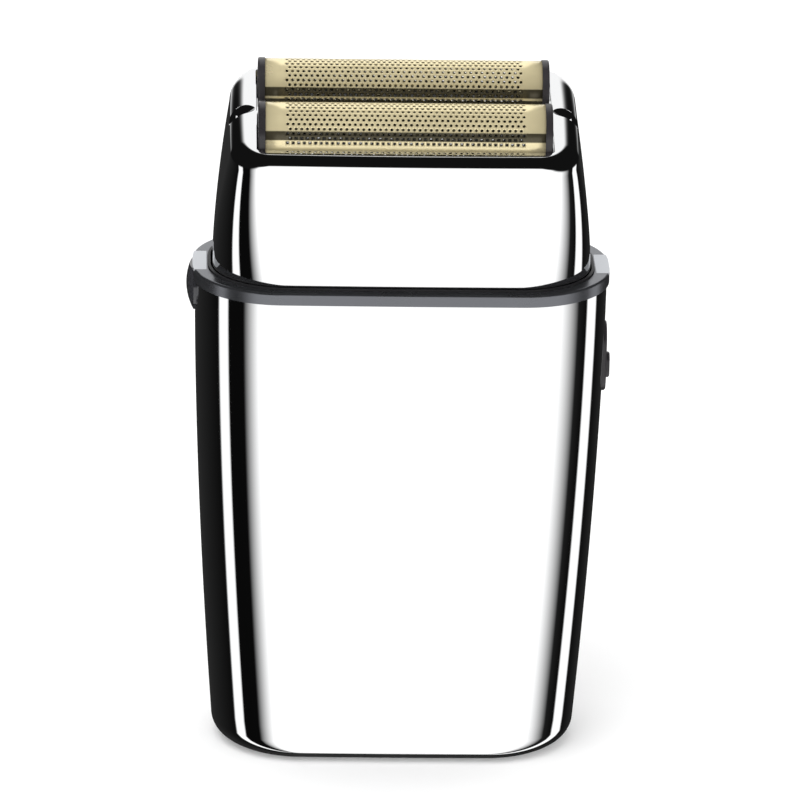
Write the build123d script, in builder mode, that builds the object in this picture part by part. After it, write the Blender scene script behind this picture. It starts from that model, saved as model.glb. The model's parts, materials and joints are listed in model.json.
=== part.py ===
"""Palm-size double-foil shaver: chrome sleeve body, lift-off head, oscillating cutters.

Units are millimetres. The origin is the middle of the base, +Z is up and the
front faces -Y. The head lifts straight up, and the two foil arches stand at
different heights because the head's rim slopes down towards the front.
"""

import math
import os

from build123d import *

os.makedirs("parts", exist_ok=True)

# Body sleeve
body_height = 74.4
body_corner = 13.0
body_wall = 1.4
body_floor = 1.8
foot_narrowing = 3.4
foot_thinning = 1.6
barrel_power = 1.7
foot_radius = 3.4
housing_bow = 0.3

# Collar between body and head
collar_thickness = 1.9
ledge_end_width = 2.25
ledge_front_width = 1.3
collar_overhang = 0.35
collar_edge = 0.35
pad_length = 8.6
pad_thickness = 0.4
seal_thickness = 0.4
seal_proud = 0.3

# Head shell
head_narrowing = 2.3
head_thinning = 0.1
head_power = 1.8
head_base_corner = 11.0
head_rim_corner = 5.4
head_wall = 1.1
head_rise = 25.6
rim_slope = 15.0
lip_end_width = 1.1
lip_front_width = 1.3
shoulder_radius = 2.9
shoulder_edge = 1.2
loft_steps = 4
finger_groove_radius = 1.3
finger_groove_bite = 0.35
finger_groove_tilt = 33.0
rear_notch_depth = 1.9
rear_notch_radius = 1.4
opening_corner = 0.6

# Foils and the frame that carries them
foil_length = 41.4
foil_radius = 4.0
foil_sheet = 0.2
foil_side_depth = 7.5
foil_front_y = -6.2
foil_rear_y = 6.3
foil_front_rise = 3.0
foil_rear_rise = 5.9
foil_float = 0.8
foil_cap_thickness = 1.05
foil_cap_rise = 0.15
foil_end_margin = 0.3
foil_rail_thickness = 0.4
foil_rail_height = 1.9
frame_thickness = 1.4
bar_rise = 0.6

# Cutters
blade_gap = 0.2
blade_depth = 0.9
blade_pitch = 1.5
blade_thickness = 0.45
blade_count = 26
blade_leg = 3.0
blade_rail = 0.8
carrier_height = 2.6
carrier_rib = 1.4
post_radius = 1.9
post_collar_radius = 2.9
post_collar_height = 0.8
cutter_spring_length = 5.0
cutter_spring_radius = 2.5
cutter_spring_wire = 0.22
cutter_spring_turns = 4

# Drive
swing = 1.2
bridge_thickness = 2.4
bridge_rise = 8.6
bridge_half_depth = 8.9
bridge_block_half = 8.0
bridge_arm_half = 17.4
bridge_arm_depth = 4.0
yoke_half_length = 3.8
yoke_half_depth = 2.6
flexure_thickness = 0.3
cam_radius = 3.8
cam_height = 3.0
cam_rise = 0.8
cam_pin_radius = 1.0
cam_pin_height = 4.2
tower_rise = 11.6
tower_half_width = 22.6
tower_half_depth = 10.8
tower_corner = 4.0
tower_wall = 1.4
tower_roof = 1.8
tower_screw_x = 18.5
tower_screw_y = 7.4
tower_column = 2.2
boot_wall = 0.8
boot_height = 1.0

# Deck under the collar
deck_thickness = 2.4
deck_drop = 0.2
deck_screw_x = 11.0
deck_screw_y = 6.8
deck_pillar = 2.3

# Motor
motor_radius = 9.6
motor_length = 24.0
motor_drop = 2.0
motor_wall = 0.8
motor_boss_radius = 3.0
motor_boss_height = 1.6
end_bell_height = 3.0
shaft_radius = 1.0
shaft_tail = 2.5
bush_radius = 2.2
bush_length = 2.0
magnet_thickness = 1.6
magnet_arc_cut = 5.0
armature_air_gap = 0.8
armature_length = 11.0
armature_slot = 1.6
armature_poles = 3
winding_inset = 1.0
winding_height = 2.0
commutator_radius = 2.2
commutator_length = 3.0

# Chassis, battery and electronics
chassis_half_width = 25.8
chassis_half_depth = 11.2
chassis_corner = 11.0
chassis_wall = 1.2
chassis_drop = 7.9
chassis_split = -3.0
chassis_screw_x = 6.0
chassis_screw_drop = 8.5
chassis_boss = 2.6
cell_radius = 7.1
cell_headroom = 8.5
cell_base = 8.0
cell_tab_thickness = 0.4
cell_tab_width = 6.0
cell_tab_length = 12.8
cell_edge = 0.7
board_x = 12.6
board_thickness = 1.2
board_width = 15.0
board_base = 12.0
board_headroom = 6.5
chip_height = 1.6
chip_width = 3.8
chip_length = 5.3
chip_pitch = 9.6
chip_column = 3.75
chip_rows = 4
capacitor_radius = 1.9
capacitor_height = 4.8
capacitor_rise = 4.0
socket_width = 9.0
socket_height = 11.0
socket_pin_radius = 0.8
socket_pin_recess = 3.7
socket_pin_length = 6.7
socket_barrel_radius = 2.5
port_radius = 3.4

# Release buttons
button_radius = 4.2
button_drop = 1.45
button_cap_thickness = 2.0
button_proud = 0.9
button_dome = 1.1
button_travel = 0.8
button_web = 0.15
button_stem_radius = 1.0
button_stem_drop = 2.85
button_stem_length = 4.0
guide_thickness = 0.7
guide_half_width = 3.6
release_spring_radius = 1.45
release_spring_wire = 0.14
release_spring_turns = 3

# Power slider on the right side
slider_drop = 12.6
bezel_length = 11.0
bezel_width = 5.6
bezel_proud = 0.45
bezel_depth = 1.4
slider_length = 4.0
slider_width = 2.4
slider_proud = 0.6
slider_travel = 3.0
switch_body_length = 10.0
switch_body_width = 4.0
switch_body_depth = 5.0

# Latch tabs on the head
latch_inset = 4.4
latch_thickness = 1.1
latch_width = 6.0
latch_drop = 6.8
latch_rise = 5.6

# Fasteners
screw_radius = 0.8
screw_head_radius = 1.5
screw_head_height = 1.0
screw_drive_width = 0.5
screw_drive_length = 2.0
screw_drive_depth = 0.45

# Clearances
fit_gap = 0.05
part_gap = 0.15
slide_gap = 0.2
loose_gap = 0.35

# Worked-out levels and sizes
rim_height = body_height + head_rise
foil_front_crown = rim_height + foil_front_rise
foil_rear_crown = rim_height + foil_rear_rise
cap_outer = foil_length / 2 + foil_cap_thickness
opening_half = cap_outer + foil_end_margin
opening_front = foil_front_y - foil_radius - foil_cap_rise - slide_gap
opening_rear = foil_rear_y + foil_radius + foil_cap_rise + slide_gap
head_half_width = opening_half + lip_end_width + shoulder_radius + head_narrowing
head_half_depth = -opening_front + lip_front_width + shoulder_edge + head_thinning
chassis_top = body_height - chassis_drop
motor_top = chassis_top - motor_drop
bridge_top = body_height + bridge_rise
tower_top = body_height + tower_rise
button_z = body_height - button_drop
button_stem_z = button_z - button_stem_drop
slider_z = body_height - slider_drop
latch_x = head_half_width - latch_inset
latch_foot = body_height - latch_drop
latch_head = body_height + latch_rise
armature_radius = motor_radius - motor_wall - magnet_thickness - armature_air_gap
winding_radius = armature_radius - winding_inset
cell_length = chassis_top - cell_headroom - cell_base
board_length = chassis_top - board_headroom - board_base
collar_top = body_height + collar_thickness
deck_top = body_height - deck_drop
deck_bottom = deck_top - deck_thickness
head_base = deck_top + slide_gap
head_height = rim_height - head_base
seal_outer = head_half_width + slide_gap + seal_thickness
collar_inner = seal_outer + fit_gap
collar_inner_depth = head_half_depth + slide_gap + seal_thickness + fit_gap
collar_half_width = collar_inner + ledge_end_width
collar_half_depth = collar_inner_depth + ledge_front_width
body_half_width = collar_half_width - collar_overhang
body_half_depth = collar_half_depth - collar_overhang
pad_width = collar_half_width - collar_inner - button_web
slope = math.radians(rim_slope)
rim_plane = Plane(
    origin=(0, 0, rim_height), x_dir=(1, 0, 0), z_dir=(0, -math.sin(slope), math.cos(slope))
)
bridge_bottom = bridge_top - bridge_thickness
cam_bottom = deck_top + cam_rise
blade_radius = foil_radius - foil_sheet - blade_gap
blade_half_length = ((blade_count - 1) * blade_pitch + blade_thickness) / 2
chassis_bottom = body_floor + part_gap
chassis_inner_width = chassis_half_width - chassis_wall
cell_x = -(chassis_inner_width - cell_radius - part_gap)
motor_base = motor_top - motor_length
armature_middle = motor_base + motor_length / 2
button_outer = collar_half_width + button_proud
button_inner = button_outer - button_cap_thickness
button_bore = button_radius + slide_gap
dome_radius = (button_radius**2 + button_dome**2) / (2 * button_dome)
guide_outer = button_inner - button_stem_length + button_travel + guide_thickness
switch_top = chassis_top - chassis_wall - part_gap
foil_places = {
    "front": (foil_front_y, foil_front_crown),
    "rear": (foil_rear_y, foil_rear_crown),
}
foil_middles = (foil_front_y, foil_rear_y)
sides = (-1, 1)


def save(piece, name):
    """Label a finished piece and write its STEP file."""
    piece.part.label = name
    export_step(piece.part, f"parts/{name}.step")


def plan_outline(half_width, half_depth, corner):
    """Plan of a housing: four slightly bowed faces joined by round corners."""
    side_x = half_width - housing_bow
    face_y = half_depth - housing_bow
    with BuildSketch() as plan:
        with BuildLine():
            ThreePointArc((-side_x, -face_y), (0, -half_depth), (side_x, -face_y))
            ThreePointArc((side_x, -face_y), (half_width, 0), (side_x, face_y))
            ThreePointArc((side_x, face_y), (0, half_depth), (-side_x, face_y))
            ThreePointArc((-side_x, face_y), (-half_width, 0), (-side_x, -face_y))
        make_face()
        fillet(plan.vertices(), corner)
    return plan.sketch


def body_half_sizes(height):
    """Half width and half depth of the barrel-sided body at a height."""
    drop = (max(body_height - height, 0) / body_height) ** barrel_power
    return body_half_width - foot_narrowing * drop, body_half_depth - foot_thinning * drop


def head_half_sizes(share):
    """Half width, half depth and corner radius of the head between base (0) and shoulder (1)."""
    bend = share**head_power
    return (
        head_half_width - head_narrowing * bend,
        head_half_depth - head_thinning * bend,
        head_base_corner - (head_base_corner - head_rim_corner) * min(share, 1),
    )


def body_loft(bottom, top, wall):
    """Smooth solid inside the body's outline, inset by a wall."""
    with BuildPart() as solid:
        for step in range(loft_steps + 1):
            height = bottom + (top - bottom) * step / loft_steps
            half_width, half_depth = body_half_sizes(height)
            with BuildSketch(Plane.XY.offset(height)):
                add(plan_outline(half_width - wall, half_depth - wall, body_corner - wall))
        loft()
    return solid.part


def head_loft(bottom, top, wall):
    """Smooth solid inside the head's outline, inset by a wall."""
    with BuildPart() as solid:
        for step in range(loft_steps + 1):
            height = bottom + (top - bottom) * step / loft_steps
            share = max(height - head_base, 0) / head_height
            half_width, half_depth, corner = head_half_sizes(share)
            with BuildSketch(Plane.XY.offset(height)):
                add(plan_outline(half_width - wall, half_depth - wall, corner - wall))
        loft()
    return solid.part


def screws(places, head_top, length, plane=Plane.XY):
    """Group of cross-slotted pan-head screws hanging down from a level."""
    with BuildPart() as group:
        with BuildSketch(plane.offset(head_top - length)):
            with Locations(*places):
                Circle(screw_radius)
        extrude(amount=length - screw_head_height)
        with BuildSketch(plane.offset(head_top - screw_head_height)):
            with Locations(*places):
                Circle(screw_head_radius)
        extrude(amount=screw_head_height)
        with BuildSketch(plane.offset(head_top)):
            with Locations(*places):
                Rectangle(screw_drive_length, screw_drive_width)
                Rectangle(screw_drive_width, screw_drive_length)
        extrude(amount=-screw_drive_depth, mode=Mode.SUBTRACT)
    return group


def coil_spring(radius, wire, turns, length, foot, axis):
    """Open coil spring standing at a foot point, with its wire inside the length."""
    free = length - 2 * wire
    start = Vector(*foot) + Vector(*axis) * wire
    with BuildPart() as spring:
        with BuildLine() as coil:
            Helix(
                pitch=free / turns, height=free, radius=radius, center=start, direction=axis
            )
        with BuildSketch(Plane(origin=coil.line @ 0, z_dir=coil.line % 0)):
            Circle(wire)
        sweep(is_frenet=True)
    return spring


# ---------------------------------------------------------------- housings

body_outer = body_loft(0, body_height, 0)
body_inner = body_loft(body_floor, body_height + 1, body_wall)
switch_plane = Plane(origin=(0, 0, slider_z), x_dir=(0, 0, 1), z_dir=(1, 0, 0))
button_plane = Plane(origin=(0, 0, button_z), x_dir=(0, 1, 0), z_dir=(1, 0, 0))

with BuildPart() as body_shell:
    add(body_outer)
    fillet(body_shell.edges().group_by(Axis.Z)[0], foot_radius)
    add(body_inner, mode=Mode.SUBTRACT)
    with BuildSketch(Plane.XY):
        Circle(port_radius)
    extrude(amount=body_floor, mode=Mode.SUBTRACT)
    with BuildSketch(button_plane):
        Circle(button_bore)
    extrude(amount=-2 * body_half_width, mode=Mode.SUBTRACT)
    with BuildSketch(switch_plane):
        SlotOverall(bezel_length + 2 * part_gap, bezel_width + 2 * part_gap)
    extrude(amount=2 * body_half_width, mode=Mode.SUBTRACT)
save(body_shell, "body_shell")

with BuildPart() as collar_ring:
    with BuildSketch(Plane.XY.offset(body_height)):
        add(plan_outline(collar_half_width, collar_half_depth, body_corner + collar_overhang))
    extrude(amount=collar_thickness)
    fillet(collar_ring.edges().group_by(Axis.Z)[-1], collar_edge)
    seal_room = head_base_corner + slide_gap + seal_thickness + fit_gap
    with BuildSketch(Plane.XY.offset(body_height)):
        add(plan_outline(collar_inner, collar_inner_depth, seal_room))
    extrude(amount=collar_thickness, mode=Mode.SUBTRACT)
    with BuildSketch(button_plane.offset(-collar_inner - button_web)):
        Circle(button_bore)
    extrude(amount=-body_half_width, mode=Mode.SUBTRACT)
    with BuildSketch(Plane.XY.offset(collar_top - pad_thickness)):
        with GridLocations(collar_inner + button_web + collar_half_width + fit_gap, 1, 2, 1):
            Rectangle(pad_width + fit_gap, pad_length + 2 * fit_gap)
    extrude(amount=pad_thickness, mode=Mode.SUBTRACT)
save(collar_ring, "collar_ring")

with BuildPart() as collar_pads:
    with BuildSketch(Plane.XY.offset(collar_top - pad_thickness)):
        add(plan_outline(collar_half_width, collar_half_depth, body_corner + collar_overhang))
        with GridLocations(collar_inner + button_web + collar_half_width, 1, 2, 1):
            Rectangle(pad_width, pad_length, mode=Mode.INTERSECT)
    extrude(amount=pad_thickness)
save(collar_pads, "collar_pads")

with BuildPart() as collar_seal:
    with BuildSketch(Plane.XY.offset(body_height)):
        add(plan_outline(
            seal_outer,
            head_half_depth + slide_gap + seal_thickness,
            head_base_corner + slide_gap + seal_thickness,
        ))
        add(plan_outline(
            head_half_width + slide_gap,
            head_half_depth + slide_gap,
            head_base_corner + slide_gap,
        ), mode=Mode.SUBTRACT)
    extrude(amount=collar_thickness + seal_proud)
save(collar_seal, "collar_seal")

deck_half_width, deck_half_depth = body_half_sizes(deck_bottom)
deck_inset = body_wall + part_gap
deck_screw_places = [
    (x, y) for x in (-deck_screw_x, deck_screw_x) for y in (-deck_screw_y, deck_screw_y)
]
tower_screw_places = [
    (x, y) for x in (-tower_screw_x, tower_screw_x) for y in (-tower_screw_y, tower_screw_y)
]

with BuildPart() as top_deck:
    with BuildSketch(Plane.XY.offset(deck_bottom)):
        add(plan_outline(
            deck_half_width - deck_inset, deck_half_depth - deck_inset, body_corner - deck_inset
        ))
    extrude(amount=deck_thickness)
    with BuildSketch(Plane.XY.offset(chassis_top)):
        with Locations(*deck_screw_places):
            Circle(deck_pillar)
    extrude(amount=deck_bottom - chassis_top)
    with BuildSketch(button_plane.offset(-guide_outer)):
        with Locations((0, (button_stem_z + deck_bottom) / 2 - button_z)):
            Rectangle(2 * guide_half_width, deck_bottom - button_stem_z + 2 * button_stem_radius)
    extrude(amount=guide_thickness)
    with BuildSketch(button_plane.offset(-body_half_width)):
        with Locations((0, button_stem_z - button_z)):
            Circle(button_stem_radius + slide_gap)
    extrude(amount=body_half_width, mode=Mode.SUBTRACT)
    with BuildSketch(Plane.XY.offset(deck_bottom)):
        Circle(cam_radius)
        with Locations((latch_x + latch_thickness / 2, 0), (-latch_x - latch_thickness / 2, 0)):
            Rectangle(latch_thickness + 2 * loose_gap, latch_width + 2 * loose_gap)
        with Locations(*tower_screw_places):
            Circle(screw_radius + fit_gap)
    extrude(amount=deck_thickness, mode=Mode.SUBTRACT)
    with BuildSketch(Plane.XY.offset(chassis_top)):
        with Locations(*deck_screw_places):
            Circle(screw_radius + fit_gap)
    extrude(amount=deck_top - chassis_top, mode=Mode.SUBTRACT)
    with BuildSketch(Plane.XY.offset(deck_top - screw_head_height)):
        with Locations(*deck_screw_places):
            Circle(screw_head_radius + part_gap)
    extrude(amount=screw_head_height, mode=Mode.SUBTRACT)
save(top_deck, "top_deck")

deck_screws = screws(deck_screw_places, deck_top, deck_top - chassis_top + chassis_wall)
save(deck_screws, "deck_screws")

post_slot_half = post_radius + swing + loose_gap
post_slot_width = 2 * (post_radius + loose_gap)

with BuildPart() as drive_tower:
    with BuildSketch(Plane.XY.offset(deck_top)):
        RectangleRounded(2 * tower_half_width, 2 * tower_half_depth, tower_corner)
    extrude(amount=tower_top - deck_top)
    chamfer(drive_tower.edges().group_by(Axis.Z)[-1], tower_wall / 2)
    with BuildSketch(Plane.XY.offset(deck_top)):
        RectangleRounded(
            2 * (tower_half_width - tower_wall),
            2 * (tower_half_depth - tower_wall),
            tower_corner - tower_wall,
        )
        with Locations(*tower_screw_places):
            Circle(tower_column, mode=Mode.SUBTRACT)
    extrude(amount=tower_top - tower_roof - deck_top, mode=Mode.SUBTRACT)
    for post_y in foil_middles:
        with BuildSketch(Plane.XY.offset(tower_top - tower_roof)):
            with Locations((0, post_y)):
                SlotOverall(2 * post_slot_half, post_slot_width)
        extrude(amount=tower_roof, mode=Mode.SUBTRACT)
    with BuildSketch(Plane.XY.offset(deck_top)):
        with Locations(*tower_screw_places):
            Circle(screw_radius + fit_gap)
    extrude(amount=tower_top - deck_top, mode=Mode.SUBTRACT)
    with BuildSketch(Plane.XY.offset(tower_top - screw_head_height)):
        with Locations(*tower_screw_places):
            Circle(screw_head_radius + part_gap)
    extrude(amount=screw_head_height, mode=Mode.SUBTRACT)
save(drive_tower, "drive_tower")

tower_screws = screws(tower_screw_places, tower_top, tower_top - deck_bottom)
save(tower_screws, "tower_screws")

with BuildPart() as post_boots:
    for post_y in foil_middles:
        with BuildSketch(Plane.XY.offset(tower_top)):
            with Locations((0, post_y)):
                SlotOverall(2 * (post_slot_half + boot_wall), post_slot_width + 2 * boot_wall)
                SlotOverall(2 * post_slot_half, post_slot_width, mode=Mode.SUBTRACT)
        extrude(amount=boot_height)
save(post_boots, "post_boots")

# -------------------------------------------------------------------- head

opening_depth = opening_rear - opening_front
opening_middle = (opening_rear + opening_front) / 2
rear_rim = rim_height + math.tan(slope) * opening_rear
groove_lean = math.radians(finger_groove_tilt)
groove_z = rim_height + finger_groove_radius - finger_groove_bite

head_top = rim_height + head_half_depth

with BuildPart() as head_cavity:
    add(head_loft(head_base - 1, head_top, head_wall))
    split(bisect_by=rim_plane.offset(-head_wall), keep=Keep.BOTTOM)

with BuildPart() as head_shell:
    add(head_loft(head_base, head_top, 0))
    split(bisect_by=rim_plane, keep=Keep.BOTTOM)
    fillet(head_shell.faces().sort_by(Axis.Z)[-1].edges(), shoulder_edge)
    add(head_cavity.part, mode=Mode.SUBTRACT)
    with BuildSketch(Plane.XY.offset(rim_height - head_half_depth)):
        with Locations((0, opening_middle)):
            RectangleRounded(2 * opening_half, opening_depth, opening_corner)
    extrude(amount=2 * head_half_depth, mode=Mode.SUBTRACT)
    with BuildSketch(Plane.XZ.offset(-opening_rear + head_wall)):
        with Locations((0, rear_rim - rear_notch_depth)):
            RectangleRounded(
                2 * (opening_half - rear_notch_radius),
                2 * head_half_depth,
                rear_notch_radius,
                align=(Align.CENTER, Align.MIN),
            )
    extrude(amount=-head_half_depth, mode=Mode.SUBTRACT)
    for side in sides:
        groove_plane = Plane(
            origin=(side * (opening_half + lip_end_width), 0, groove_z),
            z_dir=(side * math.cos(groove_lean), 0, -math.sin(groove_lean)),
        )
        with BuildSketch(groove_plane):
            Circle(finger_groove_radius)
        extrude(amount=shoulder_radius, both=True, mode=Mode.SUBTRACT)
save(head_shell, "head_shell")

with BuildPart() as foil_frame:
    add(head_loft(head_base, head_top, head_wall + part_gap))
    split(bisect_by=rim_plane.offset(-head_wall - part_gap), keep=Keep.BOTTOM)
    split(bisect_by=rim_plane.offset(-head_wall - part_gap - frame_thickness), keep=Keep.TOP)
    with BuildSketch(rim_plane.offset(-head_wall - frame_thickness / 2)):
        with Locations((0, opening_middle / math.cos(slope))):
            Rectangle(2 * (opening_half - part_gap), (foil_rear_y - foil_front_y) / 2)
    extrude(amount=head_wall + frame_thickness / 2 + bar_rise)
    for foil_y, outward in ((foil_front_y, -1), (foil_rear_y, 1)):
        window_edge = foil_y - outward * (foil_radius + foil_cap_rise + slide_gap)
        with BuildSketch(Plane.XY.offset(rim_height - head_half_depth)):
            with Locations((0, window_edge)):
                Rectangle(
                    2 * (cap_outer + slide_gap),
                    head_half_depth,
                    align=(Align.CENTER, Align.MIN if outward > 0 else Align.MAX),
                )
        extrude(amount=2 * head_half_depth, mode=Mode.SUBTRACT)
save(foil_frame, "foil_frame")

latch_wall = head_half_sizes((latch_head - head_base) / head_height)[0]

with BuildPart() as head_latches:
    for side in sides:
        with BuildSketch(Plane.XY.offset(latch_foot)):
            with Locations((side * (latch_x + latch_thickness / 2), 0)):
                Rectangle(latch_thickness, latch_width)
        extrude(amount=latch_head - latch_foot)
        root_length = latch_wall - head_wall - part_gap - latch_x
        with BuildSketch(Plane.XY.offset(collar_top)):
            with Locations((side * (latch_x + root_length / 2), 0)):
                Rectangle(root_length, latch_width)
        extrude(amount=latch_head - collar_top)
save(head_latches, "head_latches")

for place, (foil_y, crown) in foil_places.items():
    arch_z = crown - foil_radius
    foil_foot = arch_z - foil_side_depth
    arch_plane = Plane(origin=(0, foil_y, arch_z), x_dir=(0, 1, 0), z_dir=(1, 0, 0))

    with BuildPart() as foil:
        with BuildSketch(arch_plane.offset(-foil_length / 2)):
            Circle(foil_radius)
            with Locations((0, -foil_side_depth / 2)):
                Rectangle(2 * foil_radius, foil_side_depth)
            Circle(foil_radius - foil_sheet, mode=Mode.SUBTRACT)
            with Locations((0, -foil_side_depth / 2)):
                Rectangle(
                    2 * (foil_radius - foil_sheet), foil_side_depth, mode=Mode.SUBTRACT
                )
        extrude(amount=foil_length)
    save(foil, f"foil_{place}")

    with BuildPart() as foil_holder:
        for side in sides:
            with BuildSketch(arch_plane.offset(side * foil_length / 2)):
                Circle(foil_radius + foil_cap_rise)
                with Locations((0, -foil_side_depth / 2)):
                    Rectangle(2 * (foil_radius + foil_cap_rise), foil_side_depth)
            extrude(amount=side * foil_cap_thickness)
        fillet(foil_holder.edges().filter_by(GeomType.CIRCLE).group_by(Axis.X)[0], foil_cap_rise * 2)
        fillet(foil_holder.edges().filter_by(GeomType.CIRCLE).group_by(Axis.X)[-1], foil_cap_rise * 2)
        with BuildSketch(Plane.XY.offset(foil_foot)):
            for side in sides:
                rail_y = foil_y + side * (foil_radius + foil_rail_thickness / 2)
                with Locations((0, rail_y)):
                    Rectangle(foil_length, foil_rail_thickness)
        extrude(amount=foil_rail_height)
    save(foil_holder, f"foil_holder_{place}")

    comb_foot = arch_z - blade_leg
    with BuildPart() as cutter_blades:
        with BuildSketch(arch_plane.offset(-blade_half_length)):
            Circle(blade_radius)
            with Locations((0, -blade_leg / 2)):
                Rectangle(2 * blade_radius, blade_leg)
            Circle(blade_radius - blade_depth, mode=Mode.SUBTRACT)
            with Locations((0, -blade_leg)):
                Rectangle(
                    2 * (blade_radius - blade_depth), 2 * blade_leg, mode=Mode.SUBTRACT
                )
            with Locations((0, -blade_leg - blade_radius)):
                Rectangle(2 * blade_radius, 2 * blade_radius, mode=Mode.SUBTRACT)
        extrude(amount=2 * blade_half_length)
        with BuildSketch(Plane.XY.offset(comb_foot + blade_rail)):
            with Locations((0, foil_y)):
                with GridLocations(blade_pitch, 1, blade_count - 1, 1):
                    Rectangle(blade_pitch - blade_thickness, 3 * blade_radius)
        extrude(amount=2 * blade_radius + blade_leg, mode=Mode.SUBTRACT)
    save(cutter_blades, f"cutter_blades_{place}")

    carrier_foot = comb_foot - fit_gap - carrier_height
    with BuildPart() as cutter_carrier:
        with BuildSketch(Plane.XY.offset(carrier_foot)):
            with Locations((0, foil_y)):
                RectangleRounded(2 * blade_half_length, 2 * blade_radius, blade_depth)
        extrude(amount=carrier_height)
        with BuildSketch(Plane.XY.offset(carrier_foot)):
            with Locations((0, foil_y)):
                Rectangle(
                    2 * blade_half_length, 2 * (blade_radius - blade_depth - fit_gap)
                )
        extrude(amount=carrier_height + carrier_rib)
        with BuildSketch(Plane.XY.offset(carrier_foot)):
            with Locations((0, foil_y)):
                Circle(post_radius + part_gap)
        extrude(amount=carrier_height + carrier_rib / 2, mode=Mode.SUBTRACT)
    save(cutter_carrier, f"cutter_carrier_{place}")

    collar_z = carrier_foot - cutter_spring_length - part_gap
    post_top = carrier_foot + carrier_height + carrier_rib / 2 - foil_float - part_gap
    with BuildPart() as cutter_post:
        with BuildSketch(Plane.XY.offset(bridge_bottom)):
            with Locations((0, foil_y)):
                Circle(post_radius)
        extrude(amount=post_top - bridge_bottom)
        with BuildSketch(Plane.XY.offset(collar_z - post_collar_height)):
            with Locations((0, foil_y)):
                Circle(post_collar_radius)
        extrude(amount=post_collar_height)
        chamfer(cutter_post.edges().group_by(Axis.Z)[-1], post_radius / 4)
    save(cutter_post, f"cutter_post_{place}")

    cutter_spring = coil_spring(
        cutter_spring_radius,
        cutter_spring_wire,
        cutter_spring_turns,
        cutter_spring_length,
        (0, foil_y, collar_z + fit_gap),
        (0, 0, 1),
    )
    save(cutter_spring, f"cutter_spring_{place}")

# ------------------------------------------------------------------- drive

with BuildPart() as drive_bridge:
    with BuildSketch(Plane.XY.offset(bridge_bottom)):
        RectangleRounded(2 * bridge_block_half, 2 * bridge_half_depth, post_radius / 2)
        Rectangle(2 * bridge_arm_half, 2 * bridge_arm_depth)
        Rectangle(2 * yoke_half_length, 2 * yoke_half_depth, mode=Mode.SUBTRACT)
        with Locations((0, foil_front_y), (0, foil_rear_y)):
            Circle(post_radius + fit_gap, mode=Mode.SUBTRACT)
    extrude(amount=bridge_thickness)
save(drive_bridge, "drive_bridge")

with BuildPart() as bridge_flexures:
    with BuildSketch(Plane.XY.offset(deck_top)):
        with GridLocations(2 * (bridge_arm_half - flexure_thickness), 1, 2, 1):
            Rectangle(flexure_thickness, 2 * bridge_arm_depth)
    extrude(amount=bridge_bottom - deck_top)
save(bridge_flexures, "bridge_flexures")

with BuildPart() as eccentric_cam:
    with BuildSketch(Plane.XY.offset(cam_bottom)):
        Circle(cam_radius)
        Circle(shaft_radius + fit_gap, mode=Mode.SUBTRACT)
    extrude(amount=cam_height - shaft_radius)
    with BuildSketch(Plane.XY.offset(cam_bottom + cam_height - shaft_radius)):
        Circle(cam_radius)
    extrude(amount=shaft_radius)
    with BuildSketch(Plane.XY.offset(cam_bottom + cam_height)):
        with Locations((swing, 0)):
            Circle(cam_pin_radius)
    extrude(amount=cam_pin_height)
save(eccentric_cam, "eccentric_cam")

shaft_foot = motor_base - end_bell_height - shaft_tail

with BuildPart() as motor_shaft:
    with BuildSketch(Plane.XY.offset(shaft_foot)):
        Circle(shaft_radius)
    extrude(amount=cam_bottom + cam_height - shaft_radius - fit_gap - shaft_foot)
save(motor_shaft, "motor_shaft")

with BuildPart() as motor_can:
    with BuildSketch(Plane.XY.offset(motor_base)):
        Circle(motor_radius)
    extrude(amount=motor_length)
    fillet(motor_can.edges().group_by(Axis.Z)[-1], motor_wall)
    with BuildSketch(Plane.XY.offset(motor_top)):
        Circle(motor_boss_radius)
    extrude(amount=motor_boss_height)
    with BuildSketch(Plane.XY.offset(motor_base)):
        Circle(motor_radius - motor_wall)
    extrude(amount=motor_length - motor_wall, mode=Mode.SUBTRACT)
    with BuildSketch(Plane.XY.offset(motor_top - motor_wall)):
        Circle(bush_radius + fit_gap)
    extrude(amount=motor_wall + motor_boss_height, mode=Mode.SUBTRACT)
save(motor_can, "motor_can")

with BuildPart() as motor_end_bell:
    with BuildSketch(Plane.XY.offset(motor_base - end_bell_height)):
        Circle(motor_radius - motor_wall)
        Circle(bush_radius + fit_gap, mode=Mode.SUBTRACT)
    extrude(amount=end_bell_height)
    with BuildSketch(Plane.XY.offset(motor_base - end_bell_height)):
        with GridLocations(2 * commutator_radius + winding_radius, 1, 2, 1):
            Rectangle(motor_wall, commutator_radius)
    extrude(amount=-shaft_tail)
save(motor_end_bell, "motor_end_bell")

with BuildPart() as motor_bushes:
    for bush_z in (motor_top - motor_wall, motor_base - end_bell_height):
        with BuildSketch(Plane.XY.offset(bush_z)):
            Circle(bush_radius)
            Circle(shaft_radius + fit_gap, mode=Mode.SUBTRACT)
        extrude(amount=bush_length)
save(motor_bushes, "motor_bushes")

with BuildPart() as motor_magnets:
    with BuildSketch(Plane.XY.offset(armature_middle - armature_length / 2)):
        Circle(motor_radius - motor_wall - fit_gap)
        Circle(motor_radius - motor_wall - magnet_thickness, mode=Mode.SUBTRACT)
        Rectangle(2 * motor_radius, magnet_arc_cut, mode=Mode.SUBTRACT)
    extrude(amount=armature_length)
save(motor_magnets, "motor_magnets")

with BuildPart() as armature:
    with BuildSketch(Plane.XY.offset(armature_middle - armature_length / 2)):
        Circle(armature_radius)
        with PolarLocations(armature_radius, armature_poles):
            Rectangle(armature_radius, armature_slot, mode=Mode.SUBTRACT)
        Circle(shaft_radius + fit_gap, mode=Mode.SUBTRACT)
    extrude(amount=armature_length)
save(armature, "armature")

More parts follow.
